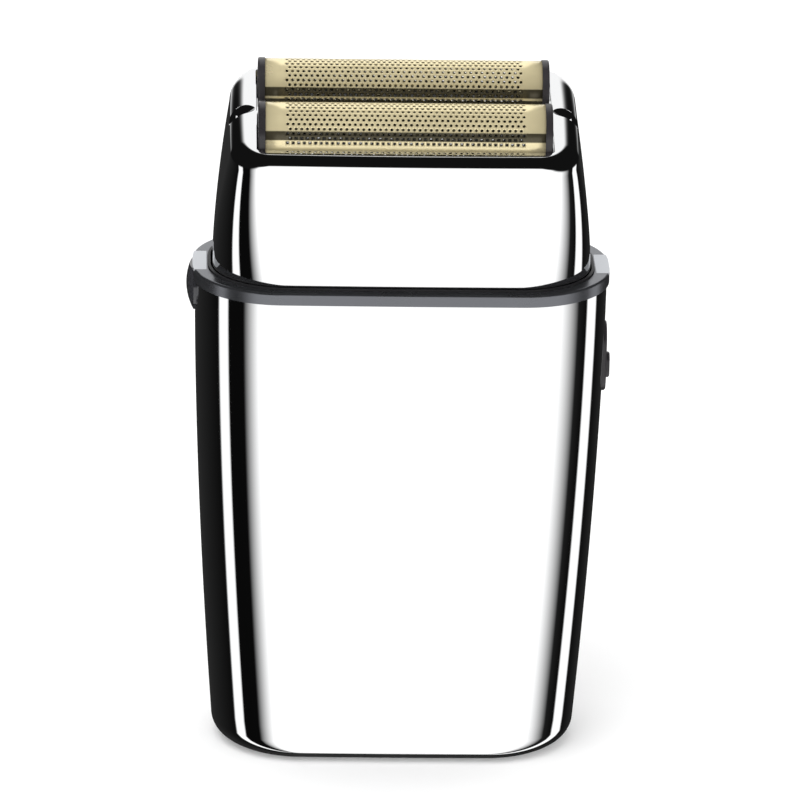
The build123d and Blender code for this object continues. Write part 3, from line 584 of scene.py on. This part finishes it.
def looped_mesh(name, loops):
    """Closed mesh of quads between rings of points that all have the same count."""
    skin = bmesh.new()
    rings = [[skin.verts.new(point) for point in ring] for ring in loops]
    count = len(rings[0])
    for lower, upper in zip(rings, [*rings[1:], rings[0]]):
        for k in range(count):
            after = (k + 1) % count
            skin.faces.new((lower[k], lower[after], upper[after], upper[k]))
    bmesh.ops.recalc_face_normals(skin, faces=skin.faces)
    for face in skin.faces:
        face.smooth = True
    mesh = bpy.data.meshes.new(name)
    skin.to_mesh(mesh)
    skin.free()
    return mesh


def cut_away(piece, *tools):
    """Subtract closed meshes from a piece and sharpen its real edges."""
    cutters = []
    for tool in tools:
        cutter = bpy.data.objects.new("cutter", tool)
        bpy.context.scene.collection.objects.link(cutter)
        cut = piece.modifiers.new("cut", "BOOLEAN")
        cut.operation = "DIFFERENCE"
        cut.solver = "EXACT"
        cut.object = cutter
        cutters.append(cutter)
    bpy.context.view_layer.update()
    depsgraph = bpy.context.evaluated_depsgraph_get()
    done = bpy.data.meshes.new_from_object(piece.evaluated_get(depsgraph))
    piece.modifiers.clear()
    piece.data = done
    for cutter in cutters:
        bpy.data.objects.remove(cutter)
    done.set_sharp_from_angle(angle=SHARP_ANGLE)


def prism(outline, start, stop, matrix):
    """Closed prism of a flat outline between two levels, placed by a matrix."""
    solid = bmesh.new()
    rings = [
        [solid.verts.new(matrix @ Vector((x, y, level))) for x, y in outline]
        for level in (start, stop)
    ]
    count = len(outline)
    for k in range(count):
        after = (k + 1) % count
        solid.faces.new((rings[0][k], rings[0][after], rings[1][after], rings[1][k]))
    solid.faces.new(list(reversed(rings[0])))
    solid.faces.new(rings[1])
    bmesh.ops.recalc_face_normals(solid, faces=solid.faces)
    mesh = bpy.data.meshes.new("prism")
    solid.to_mesh(mesh)
    solid.free()
    return mesh


def circle(radius, count=64):
    """Flat circle of points."""
    return [
        (radius * math.cos(math.tau * k / count), radius * math.sin(math.tau * k / count))
        for k in range(count)
    ]


def along_x(height):
    """Matrix on the middle line at a height, with local z along x and local x downwards."""
    turn = Matrix(((0, 0, 1), (0, 1, 0), (-1, 0, 0))).to_4x4()
    return Matrix.Translation((0, 0, height)) @ turn


def body_skin(shape, material):
    """Body shell as one smooth skin: drawn-in foot, round corners, wall, floor and port."""
    low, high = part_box("body_shell")
    width, depth, top = (high.x - low.x) / 2, (high.y - low.y) / 2, high.z

    def ring(z, inset):
        """Outline of the shell at a height, moved inwards by an inset."""
        drop = (max(top - z, 0) / top) ** shape.barrel_power
        outline = rounded_outline(
            width - shape.foot_narrowing * drop - inset,
            depth - shape.foot_thinning * drop - inset,
            shape.body_corner - inset,
            shape.bow,
        )
        return [(x, y, z) for x, y in outline]

    foot = shape.foot_radius
    outer = []
    for step in range(FOOT_STEPS):
        turn = math.pi / 2 * step / FOOT_STEPS
        outer.append(ring(foot * (1 - math.cos(turn)), foot * (1 - math.sin(turn))))
    for step in range(WALL_STEPS + 1):
        outer.append(ring(foot + (top - foot) * step / WALL_STEPS, 0))
    inner = [
        ring(top - (top - shape.body_floor) * step / WALL_STEPS, shape.body_wall)
        for step in range(WALL_STEPS + 1)
    ]
    around = [math.atan2(y, x) for x, y, z in outer[0]]
    port = [
        [(shape.port_radius * math.cos(a), shape.port_radius * math.sin(a), z) for a in around]
        for z in (shape.body_floor, 0)
    ]
    piece = new_piece(
        "body_skin", looped_mesh("body_skin", [*port, *outer, *inner]), "root",
        material,
    )
    button_low, button_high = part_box("release_button")
    button_radius = (button_high.y - button_low.y) / 2 + BUTTON_GAP
    button_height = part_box("collar_ring")[0].z - BUTTON_DROP
    bezel_low, bezel_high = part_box("switch_bezel")
    half_height = (bezel_high.z - bezel_low.z) / 2 + BEZEL_GAP
    half_depth = (bezel_high.y - bezel_low.y) / 2 + BEZEL_GAP
    cut_away(
        piece,
        prism(circle(button_radius), -2 * width, 0, along_x(button_height)),
        prism(
            rounded_outline(half_height, half_depth, half_depth - OUTLINE_EASE),
            0, 2 * width, along_x((bezel_low.z + bezel_high.z) / 2),
        ),
    )
    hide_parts("body_shell")
    return piece


def head_skin(shape, material):
    """Head shell with round shoulders at its ends, a flat lip round the foils and a rear notch."""
    low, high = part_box("head_shell")
    width, depth, base = (high.x - low.x) / 2, (high.y - low.y) / 2, low.z
    slope, rim_z = shape.rim_slope, shape.rim_height
    caps_low, caps_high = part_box("foil_holder_front")
    rear_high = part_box("foil_holder_rear")[1]
    opening_half = caps_high.x + shape.opening_margin
    front, rear = caps_low.y - shape.opening_gap, rear_high.y + shape.opening_gap

    def tilted(outline, level, tilt):
        """Outline leaning to the front by a tilt about the x axis."""
        return [(x, v * math.cos(tilt), level + v * math.sin(tilt)) for x, v in outline]

    def wall_rings(wall):
        """Rings from the ring up to the rim, moved inwards by a wall's thickness."""
        shoulder = shape.shoulder_radius - wall
        edge = max(shape.rim_edge - wall, LEAST_EDGE)
        rim = rim_z - wall / math.cos(slope)
        foot = rim - shoulder / math.cos(slope)
        rings = []
        for step in range(HEAD_STEPS + 1):
            share = step / HEAD_STEPS
            bend = share ** shape.head_power
            tilt = slope * share
            corner = shape.head_base_corner - wall
            corner += (shape.head_rim_corner - shape.head_base_corner) * share
            outline = rounded_outline(
                width - shape.head_narrowing * bend - wall,
                (depth - shape.head_thinning * bend - wall) / math.cos(tilt),
                corner,
                shape.bow,
            )
            rings.append(tilted(outline, base + (foot - base) * share, tilt))
        for step in range(1, SHOULDER_STEPS + 1):
            turn = math.pi / 2 * step / SHOULDER_STEPS
            down = shoulder * (1 - math.sin(turn))
            end_inset = shoulder * (1 - math.cos(turn))
            face_inset = edge - math.sqrt(edge**2 - max(edge - down, 0) ** 2)
            outline = rounded_outline(
                width - shape.head_narrowing - wall - end_inset,
                (depth - shape.head_thinning - wall) / math.cos(slope) - face_inset,
                shape.head_rim_corner - wall - (end_inset + face_inset) / 2,
                shape.bow,
            )
            rings.append(tilted(outline, rim - down / math.cos(slope), slope))
        return rings

    outer, inner = wall_rings(0), list(reversed(wall_rings(shape.head_wall)))
    opening = rounded_outline(opening_half, (rear - front) / 2, OPENING_CORNER)
    hole = [(x, y + (front + rear) / 2) for x, y in opening]
    lip = [
        [(x, y, level + y * math.tan(slope)) for x, y in hole]
        for level in (rim_z, rim_z - shape.head_wall / math.cos(slope))
    ]
    piece = new_piece(
        "head_skin", looped_mesh("head_skin", [*outer, *lip, *inner]), "head",
        material,
    )
    rear_rim = rim_z + rear * math.tan(slope)
    notch = prism(
        rounded_outline(opening_half - NOTCH_CORNER, depth, NOTCH_CORNER),
        rear - shape.head_wall, 2 * depth,
        Matrix.Translation((0, 0, rear_rim - shape.notch_depth + depth))
        @ Matrix.Rotation(math.pi / 2, 4, "X") @ Matrix.Scale(-1, 4, (0, 0, 1)),
    )
    grooves = []
    for side in (-1, 1):
        lean = shape.groove_lean
        place = Vector((
            side * (width - shape.head_narrowing - shape.shoulder_radius), 0,
            rim_z + shape.groove_radius - shape.groove_bite,
        ))
        direction = Vector((side * math.cos(lean), 0, -math.sin(lean)))
        turn = direction.to_track_quat("Z", "Y").to_matrix().to_4x4()
        grooves.append(prism(
            circle(shape.groove_radius), -shape.shoulder_radius, 2 * shape.shoulder_radius,
            Matrix.Translation(place) @ turn,
        ))
    cut_away(piece, notch, *grooves)
    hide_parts("head_shell")
    return piece


def perforated_foil(place, settings, material):
    """Arched foil with staggered holes, in the space of its CAD node."""
    low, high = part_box(f"foil_{place}")
    radius = (high.y - low.y) / 2
    middle = (high.y + low.y) / 2
    arch_z = high.z - radius
    quarter_arc = math.pi * radius / 2
    bottom = quarter_arc + arch_z - low.z
    half_length = (high.x - low.x) / 2

    pitch, row, hole = settings.hole_pitch, settings.row_pitch, settings.hole_diameter / 2
    columns = int(2 * (half_length - settings.plain_end) / pitch)
    columns -= (columns + 1) % 2
    half_rows = int((quarter_arc + settings.holes_below) / row)
    field = columns * pitch / 2
    sheet = bmesh.new()
    made = {}

    def point(u, v):
        """Vertex on the sheet, u along it and v round it from the crown."""
        key = (round(u / VERTEX_STEP), round(v / VERTEX_STEP))
        if key not in made:
            angle = max(-math.pi / 2, min(math.pi / 2, v / radius))
            drop = max(abs(v) - quarter_arc, 0)
            made[key] = sheet.verts.new((
                u,
                middle + radius * math.sin(angle),
                arch_z + radius * math.cos(angle) - drop,
            ))
        return made[key]

    def plain(*corners):
        """Face of the sheet between corners."""
        sheet.faces.new([point(*corner) for corner in corners])

    def cell(u, v):
        """One rectangle of the pattern with its round hole."""
        ring = [
            point(u + pitch / 2 * x, v + row / 2 * y)
            for x, y in ((1, 0), (1, 1), (0, 1), (-1, 1), (-1, 0), (-1, -1), (0, -1), (1, -1))
        ]
        turns = [math.tau * step / HOLE_POINTS for step in range(HOLE_POINTS)]
        rim = [point(u + hole * math.cos(turn), v + hole * math.sin(turn)) for turn in turns]
        for step, here in enumerate(ring):
            after = ring[(step + 1) % len(ring)]
            first, second, third = (rim[(2 * step + k) % HOLE_POINTS] for k in range(3))
            sheet.faces.new((here, second, first))
            sheet.faces.new((here, after, second))
            sheet.faces.new((after, third, second))

    for index in range(-half_rows, half_rows + 1):
        v = index * row
        top, foot = v + row / 2, v - row / 2
        shift = index % 2
        for column in range(columns - shift):
            cell(pitch * (column + 0.5 + shift / 2) - field, v)
        for end in (-1, 1):
            edge, far = end * field, end * half_length
            inner = edge - end * pitch / 2
            if shift:
                plain((edge, foot), (edge, top), (inner, top), (inner, v), (inner, foot))
                plain((edge, foot), (edge, top), (far, top), (far, foot))
            else:
                plain((edge, foot), (edge, v), (edge, top), (far, top), (far, foot))

    # Strips without holes below the last rows, down to the foil's edges.
    last = (half_rows + 0.5) * row
    levels = [last]
    while levels[-1] + row < quarter_arc:
        levels.append(levels[-1] + row)
    levels.append(bottom)
    shift = half_rows % 2
    marks = [pitch * (k + shift) / 2 - field for k in range(2 * (columns - shift) + 1)]
    marks = [mark for mark in marks if abs(mark) < field - VERTEX_STEP]
    for side in (-1, 1):
        for near, far in zip(levels, levels[1:]):
            near_v, far_v = side * near, side * far
            between = [(mark, near_v) for mark in marks] if near == last else []
            plain((-half_length, near_v), (-field, near_v), (-field, far_v), (-half_length, far_v))
            plain((-field, near_v), *between, (field, near_v), (field, far_v), (-field, far_v))
            plain((field, near_v), (half_length, near_v), (half_length, far_v), (field, far_v))

    bmesh.ops.recalc_face_normals(sheet, faces=sheet.faces)
    crown = max(sheet.faces, key=lambda face: face.calc_center_median().z)
    if crown.normal.z < 0:
        bmesh.ops.reverse_faces(sheet, faces=sheet.faces)
    for face in sheet.faces:
        face.smooth = True
    mesh = bpy.data.meshes.new(f"perforated_foil_{place}")
    sheet.to_mesh(mesh)
    sheet.free()
    piece = new_piece(
        f"perforated_foil_{place}", mesh, body_of(frame["nodes"][f"foil_{place}"])[0],
        material,
    )
    thick = piece.modifiers.new("sheet", "SOLIDIFY")
    thick.thickness = settings.sheet_thickness
    thick.offset = -1
    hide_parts(f"foil_{place}")
    return piece


# ------------------------------------------------------------- operators

class SHAVER_OT_housing(bpy.types.Operator):
    """Chrome shells, gunmetal ring, pads and seal"""

    bl_idname = "shaver.housing"
    bl_label = "Housing"

    def execute(self, context):
        settings = context.scene.shaver_housing
        shape = context.scene.shaver_shape
        plating = chrome(settings)
        body_skin(shape, plating)
        head_skin(shape, plating)
        dress(plating, "foil_frame")
        dress(finish_material(
            "gunmetal", settings.ring_colour, shade(settings.ring_colour, 1.15),
            metallic=0.9, roughness=0.28, spread=0.08, cloud=90.0, grain=6000.0, bump=0.1,
        ), "collar_ring")
        dress(finish_material(
            "satin_metal", settings.satin_colour, shade(settings.satin_colour, 1.08),
            metallic=0.7, roughness=0.38, spread=0.08, cloud=120.0, grain=5000.0, bump=0.15,
        ), "collar_pads")
        dress(finish_material(
            "seal_rubber", settings.seal_colour, shade(settings.seal_colour, 1.4),
            roughness=0.55, spread=0.1, grain=4000.0, bump=0.2,
        ), "collar_seal", "post_boots")
        return {"FINISHED"}


class SHAVER_OT_controls(bpy.types.Operator):
    """Release button and power slider"""

    bl_idname = "shaver.controls"
    bl_label = "Controls"

    def execute(self, context):
        settings = context.scene.shaver_housing
        dress(finish_material(
            "button_gloss", settings.button_colour, shade(settings.button_colour, 1.3),
            metallic=0.3, roughness=0.14, spread=0.05, coat=0.6, coat_roughness=0.05,
        ), "release_button")
        dress(black_plastic(settings), "power_slider", "switch_bezel", "switch_body")
        return {"FINISHED"}


def black_plastic(settings):
    """Fine-textured moulded black plastic."""
    found = bpy.data.materials.get("black_moulding")
    if found:
        return found
    return finish_material(
        "black_moulding", settings.plastic_colour, shade(settings.plastic_colour, 1.5),
        roughness=0.33, spread=0.12, cloud=150.0, grain=5000.0, bump=0.25, depth=MOULDED_DEPTH,
    )


class SHAVER_OT_foils(bpy.types.Operator):
    """Perforated gold foils and their end caps"""

    bl_idname = "shaver.foils"
    bl_label = "Foils"

    def execute(self, context):
        settings = context.scene.shaver_foils
        sheet = gold_sheet(settings)
        for place in ("front", "rear"):
            perforated_foil(place, settings, sheet)
        dress(black_plastic(context.scene.shaver_housing), "foil_holder_front", "foil_holder_rear")
        return {"FINISHED"}


class SHAVER_OT_cutters(bpy.types.Operator):
    """Blades, carriers, posts and springs under the foils"""

    bl_idname = "shaver.cutters"
    bl_label = "Cutters"

    def execute(self, context):
        grey = context.scene.shaver_inner.grey_colour
        steel = finish_material(
            "blade_steel", (0.55, 0.56, 0.58), (0.62, 0.63, 0.65), metallic=1.0,
            roughness=0.22, spread=0.1, cloud=200.0, grain=4000.0, stretch=(1, 1, 6), bump=0.1,
        )
        spring = finish_material(
            "spring_steel", (0.45, 0.46, 0.48), (0.55, 0.56, 0.58), metallic=1.0,
            roughness=0.3, spread=0.1, cloud=300.0,
        )
        plastic = finish_material(
            "grey_moulding", grey, shade(grey, 1.2), roughness=0.42, spread=0.12, cloud=120.0,
            grain=4000.0, bump=0.25, depth=MOULDED_DEPTH,
        )
        dress(steel, "cutter_blades_front", "cutter_blades_rear")
        dress(
            spring, "cutter_spring_front", "cutter_spring_rear", "release_spring",
            "bridge_flexures", "cutter_post_front", "cutter_post_rear", "motor_shaft",
        )
        dress(
            plastic, "cutter_carrier_front", "cutter_carrier_rear", "drive_bridge",
            "eccentric_cam", "chassis_tray", "chassis_cover",
        )
        return {"FINISHED"}


class SHAVER_OT_mechanism(bpy.types.Operator):
    """Deck, tower, latches, motor, battery, board and screws"""

    bl_idname = "shaver.mechanism"
    bl_label = "Mechanism"

    def execute(self, context):
        inner = context.scene.shaver_inner
        dress(
            black_plastic(context.scene.shaver_housing), "top_deck", "drive_tower",
            "head_latches", "charging_socket", "motor_end_bell",
        )
        looks = {
            "screw_steel": (
                ((0.5, 0.5, 0.52), (0.6, 0.6, 0.62)),
                dict(metallic=1.0, roughness=0.3),
                ("deck_screws", "tower_screws", "chassis_screws"),
            ),
            "cell_sleeve": (
                (inner.cell_colour, shade(inner.cell_colour, 1.2)),
                dict(roughness=0.3, coat=0.3),
                ("battery_cell",),
            ),
            "nickel": (
                ((0.6, 0.58, 0.53), (0.7, 0.68, 0.63)),
                dict(metallic=1.0, roughness=0.25),
                ("battery_tabs",),
            ),
            "board_lacquer": (
                (inner.board_colour, shade(inner.board_colour, 1.6)),
                dict(roughness=0.35, coat=0.3, cloud=500.0),
                ("circuit_board",),
            ),
            "chip_black": (
                ((0.02, 0.02, 0.02), (0.035, 0.035, 0.035)),
                dict(roughness=0.5),
                ("board_chips",),
            ),
            "motor_plate": (
                ((0.5, 0.5, 0.5), (0.6, 0.6, 0.58)),
                dict(metallic=1.0, roughness=0.32, stretch=(1, 1, 20), bump=0.1),
                ("motor_can", "armature"),
            ),
            "copper": (
                (inner.copper_colour, shade(inner.copper_colour, 1.2)),
                dict(metallic=1.0, roughness=0.28, stretch=(1, 1, 8), bump=0.4),
                ("armature_windings", "commutator"),
            ),
            "bronze": (
                ((0.5, 0.32, 0.14), (0.6, 0.4, 0.2)),
                dict(metallic=1.0, roughness=0.45),
                ("motor_bushes",),
            ),
            "ferrite": (
                ((0.06, 0.06, 0.065), (0.09, 0.09, 0.095)),
                dict(roughness=0.6, bump=0.3),
                ("motor_magnets",),
            ),
        }
        for name, (colours, values, nodes) in looks.items():
            dress(finish_material(name, *colours, **values), *nodes)
        return {"FINISHED"}


def light_tent(settings, middle):
    """Sphere seen only by reflections: white sides, dark strips at the flanks and a dark roof."""
    mesh = bpy.data.meshes.new("light_tent")
    ball = bmesh.new()
    bmesh.ops.create_uvsphere(ball, u_segments=64, v_segments=32, radius=settings.tent_radius)
    ball.to_mesh(mesh)
    ball.free()
    tent = bpy.data.objects.new("light_tent", mesh)
    bpy.context.scene.collection.objects.link(tent)
    tent.location = middle
    for ray in ("camera", "diffuse", "shadow", "transmission", "volume_scatter"):
        setattr(tent, f"visible_{ray}", False)
    material = bpy.data.materials.new("tent_cloth")
    material.use_nodes = True
    tree = material.node_tree
    tree.nodes.clear()
    glow = tree.nodes.new("ShaderNodeEmission")
    out = tree.nodes.new("ShaderNodeOutputMaterial")
    place = tree.nodes.new("ShaderNodeTexCoord")
    parts = tree.nodes.new("ShaderNodeSeparateXYZ")
    join(
        tree,
        (place.outputs["Object"], parts.inputs[0]),
        (glow.outputs[0], out.inputs["Surface"]),
    )
    forward = maths(tree, "MULTIPLY", parts.outputs["Y"], -1.0)
    around = maths(tree, "ARCTAN2", parts.outputs["X"], forward)
    around = maths(tree, "MULTIPLY", around, HALF_TURN / math.pi)
    rise = maths(tree, "ARCSINE", maths(tree, "DIVIDE", parts.outputs["Z"], settings.tent_radius))
    rise = maths(tree, "MULTIPLY", rise, HALF_TURN / math.pi)
    strips = tree.nodes.new("ShaderNodeValToRGB")
    ramp = strips.color_ramp
    while len(ramp.elements) < len(TENT_STRIPS):
        ramp.elements.new(0.5)
    for element, (degrees, brightness) in zip(ramp.elements, TENT_STRIPS):
        element.position = (degrees + HALF_TURN) / (2 * HALF_TURN)
        element.color = (brightness, brightness, brightness, 1)
    turn = maths(tree, "DIVIDE", maths(tree, "ADD", around, HALF_TURN), 2 * HALF_TURN)
    join(tree, (turn, strips.inputs["Fac"]))
    roof = remap(tree, rise, *ROOF_START)
    behind = remap(tree, maths(tree, "ABSOLUTE", around), *BACK_LIGHT_AZIMUTH)
    back_light = maths(tree, "MULTIPLY", behind, remap(tree, rise, *BACK_LIGHT_RISE))
    roof_level = remap(tree, back_light, 0, 1, *ROOF_LEVELS)
    level = tree.nodes.new("ShaderNodeMix")
    join(
        tree,
        (roof, level.inputs["Factor"]),
        (strips.outputs["Color"], level.inputs[2]),
        (roof_level, level.inputs[3]),
        (level.outputs[0], glow.inputs["Strength"]),
    )
    mesh.materials.append(material)


class SHAVER_OT_studio(bpy.types.Operator):
    """Floor, light tent, lights and camera"""

    bl_idname = "shaver.studio"
    bl_label = "Studio"

    def execute(self, context):
        scene = context.scene
        settings = scene.shaver_studio
        aim = Vector(settings.aim)
        size = settings.floor_size / 2
        mesh = bpy.data.meshes.new("floor")
        mesh.from_pydata(
            [(-size, -size, 0), (size, -size, 0), (size, size, 0), (-size, size, 0)],
            [],
            [(0, 1, 2, 3)],
        )
        floor = bpy.data.objects.new("floor", mesh)
        scene.collection.objects.link(floor)
        floor.location.z = -FLOOR_DROP
        floor.visible_glossy = False
        mesh.materials.append(finish_material(
            "floor_paper", (0.93, 0.93, 0.93), (0.94, 0.94, 0.94), roughness=0.9, spread=0.02,
            cloud=2.0, grain=400.0,
        ))
        light_tent(settings, aim)

        world = bpy.data.worlds.new("studio")
        world.use_nodes = True
        back = world.node_tree.nodes["Background"]
        back.inputs["Color"].default_value = (1, 1, 1, 1)
        back.inputs["Strength"].default_value = settings.ambient
        scene.world = world

        key = bpy.data.lights.new("overhead_softbox", "AREA")
        key.size = SOFTBOX_SIZE
        key.energy = SOFTBOX_POWER
        lamp = bpy.data.objects.new("overhead_softbox", key)
        scene.collection.objects.link(lamp)
        lamp.matrix_world = aimed(Vector(SOFTBOX_PLACE), aim)
        lamp.visible_glossy = False

        camera = bpy.data.cameras.new("camera")
        camera.lens = settings.focal_length
        camera.sensor_width = SENSOR_WIDTH
        camera.clip_start, camera.clip_end = CLIP_RANGE
        eye = bpy.data.objects.new("camera", camera)
        scene.collection.objects.link(eye)
        turn, rise = settings.azimuth, settings.elevation
        outward = Vector((
            math.sin(turn) * math.cos(rise), -math.cos(turn) * math.cos(rise), math.sin(rise),
        ))
        upright = aimed(aim + outward * settings.distance, aim)
        eye.matrix_world = upright @ Matrix.Rotation(settings.roll, 4, "Z")
        scene.camera = eye
        scene.view_settings.view_transform = "Standard"
        return {"FINISHED"}


def aimed(place, target):
    """Matrix of something at a place that looks at a target, with its top up."""
    turn = (target - place).to_track_quat("-Z", "Y")
    return Matrix.Translation(place) @ turn.to_matrix().to_4x4()


class SHAVER_PT_panel(bpy.types.Panel):
    """Buttons for every group of pieces"""

    bl_idname = "SHAVER_PT_panel"
    bl_label = "Foil shaver"
    bl_space_type = "VIEW_3D"
    bl_region_type = "UI"
    bl_category = "Shaver"

    def draw(self, context):
        for operator in OPERATORS:
            self.layout.operator(operator.bl_idname)


SETTINGS = {
    "shaver_housing": HousingSettings,
    "shaver_shape": ShapeSettings,
    "shaver_foils": FoilSettings,
    "shaver_inner": InnerSettings,
    "shaver_studio": StudioSettings,
}
OPERATORS = (
    SHAVER_OT_studio,
    SHAVER_OT_housing,
    SHAVER_OT_controls,
    SHAVER_OT_foils,
    SHAVER_OT_cutters,
    SHAVER_OT_mechanism,
)


def register():
    """Register every class and attach the settings to the scene."""
    for kind in (*SETTINGS.values(), *OPERATORS, SHAVER_PT_panel):
        bpy.utils.register_class(kind)
    for name, kind in SETTINGS.items():
        setattr(bpy.types.Scene, name, PointerProperty(type=kind))


def unregister():
    """Take everything away again."""
    for name in SETTINGS:
        delattr(bpy.types.Scene, name)
    for kind in reversed((*SETTINGS.values(), *OPERATORS, SHAVER_PT_panel)):
        bpy.utils.unregister_class(kind)


def main():
    """Build every piece."""
    register()
    for operator in OPERATORS:
        section, name = operator.bl_idname.split(".")
        getattr(getattr(bpy.ops, section), name)()


if __name__ == "__main__":
    main()
